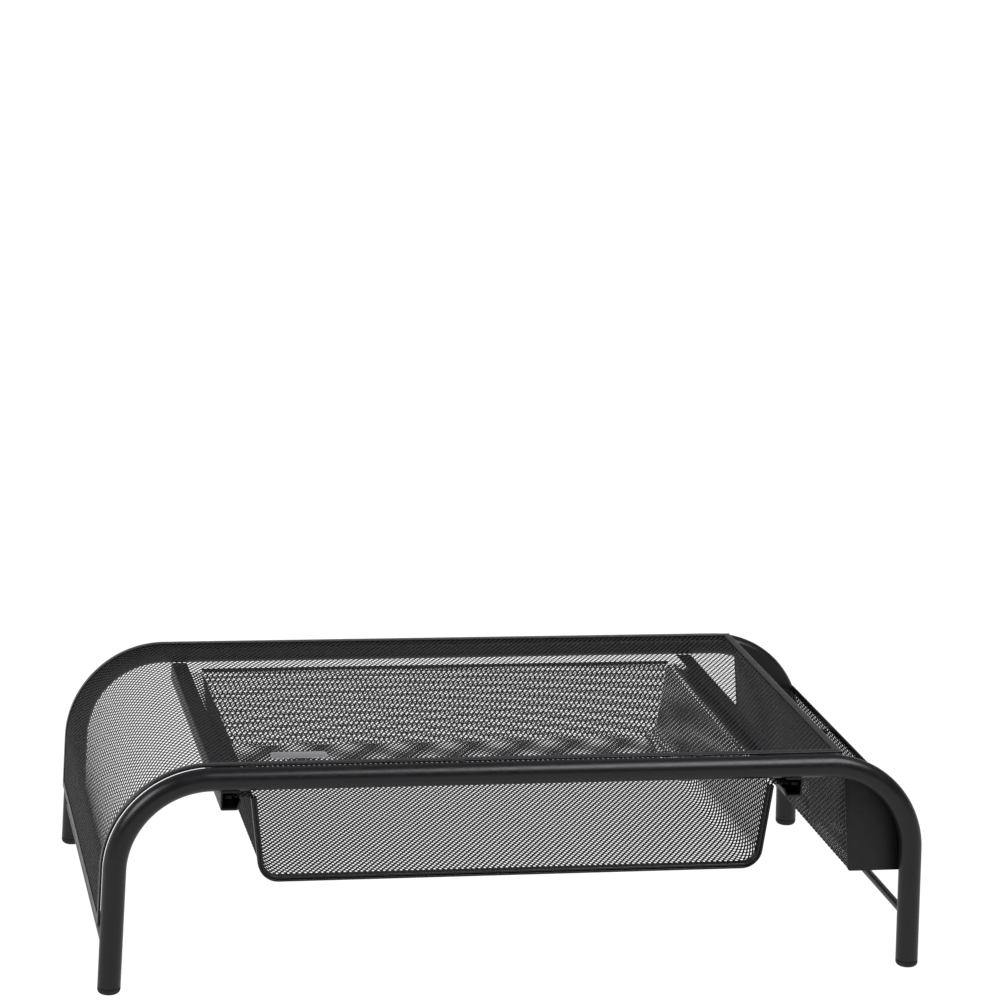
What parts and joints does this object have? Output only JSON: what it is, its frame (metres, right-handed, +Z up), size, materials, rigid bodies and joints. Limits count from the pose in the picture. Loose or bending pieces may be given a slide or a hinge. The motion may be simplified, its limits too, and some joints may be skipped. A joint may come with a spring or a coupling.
{
  "type": "monitor riser stand",
  "caption": "Desk monitor riser with a black expanded-metal top on two bent tube frames, a pull-out mesh drawer under it and a compartment bin at one side.",
  "frame": {"origin": "on the desk, at the middle of the bounding box's base", "axes": "+X to the right as seen by the user, +Y to the back, +Z up; the drawer pulls out along -Y"},
  "size_m": [0.5086, 0.292, 0.139],
  "materials": {
    "frame_paint": "satin black powder coat on steel tube and folded edging",
    "mesh_paint": "satin black powder coat on expanded steel mesh",
    "sheet_paint": "smooth satin black powder coat on sheet steel",
    "foot_plastic": "matte black moulded plastic",
    "plate_metal": "brushed silver-grey plate, left blank",
    "stop_steel": "plain steel pin"
  },
  "bodies": {
    "stand": {"front_edging": "frame_paint", "front_left_foot_cap": "foot_plastic", "front_right_foot_cap": "foot_plastic", "front_tube_frame": "frame_paint", "front_weld_1": "frame_paint", "front_weld_2": "frame_paint", "front_weld_3": "frame_paint", "left_brace_rod": "frame_paint", "left_drawer_rail": "frame_paint", "left_edging": "frame_paint", "left_rail_stop": "stop_steel", "name_plate_blank": "plate_metal", "rear_edging": "frame_paint", "rear_left_foot_cap": "foot_plastic", "rear_right_foot_cap": "foot_plastic", "rear_tube_frame": "frame_paint", "rear_weld_1": "frame_paint", "rear_weld_2": "frame_paint", "rear_weld_3": "frame_paint", "right_brace_rod": "frame_paint", "right_drawer_rail": "frame_paint", "right_edging": "frame_paint", "right_rail_stop": "stop_steel", "side_bin_divider_1": "sheet_paint", "side_bin_divider_2": "sheet_paint", "side_bin_front_plate": "sheet_paint", "side_bin_inner_rim": "frame_paint", "side_bin_mesh": "mesh_paint", "side_bin_outer_rim": "frame_paint", "side_bin_rear_plate": "sheet_paint", "top_mesh_panel": "mesh_paint"},
    "drawer": {"drawer_front_rim": "frame_paint", "drawer_left_ear": "frame_paint", "drawer_left_rim": "frame_paint", "drawer_left_runner": "frame_paint", "drawer_mesh_basket": "mesh_paint", "drawer_rear_rim": "frame_paint", "drawer_right_ear": "frame_paint", "drawer_right_rim": "frame_paint", "drawer_right_runner": "frame_paint"}
  },
  "joints": [
    {"name": "drawer_slide", "type": "slide", "parent": "stand", "child": "drawer", "axis": [0, -1, 0], "range_m": [0, 0.2]}
  ]
}
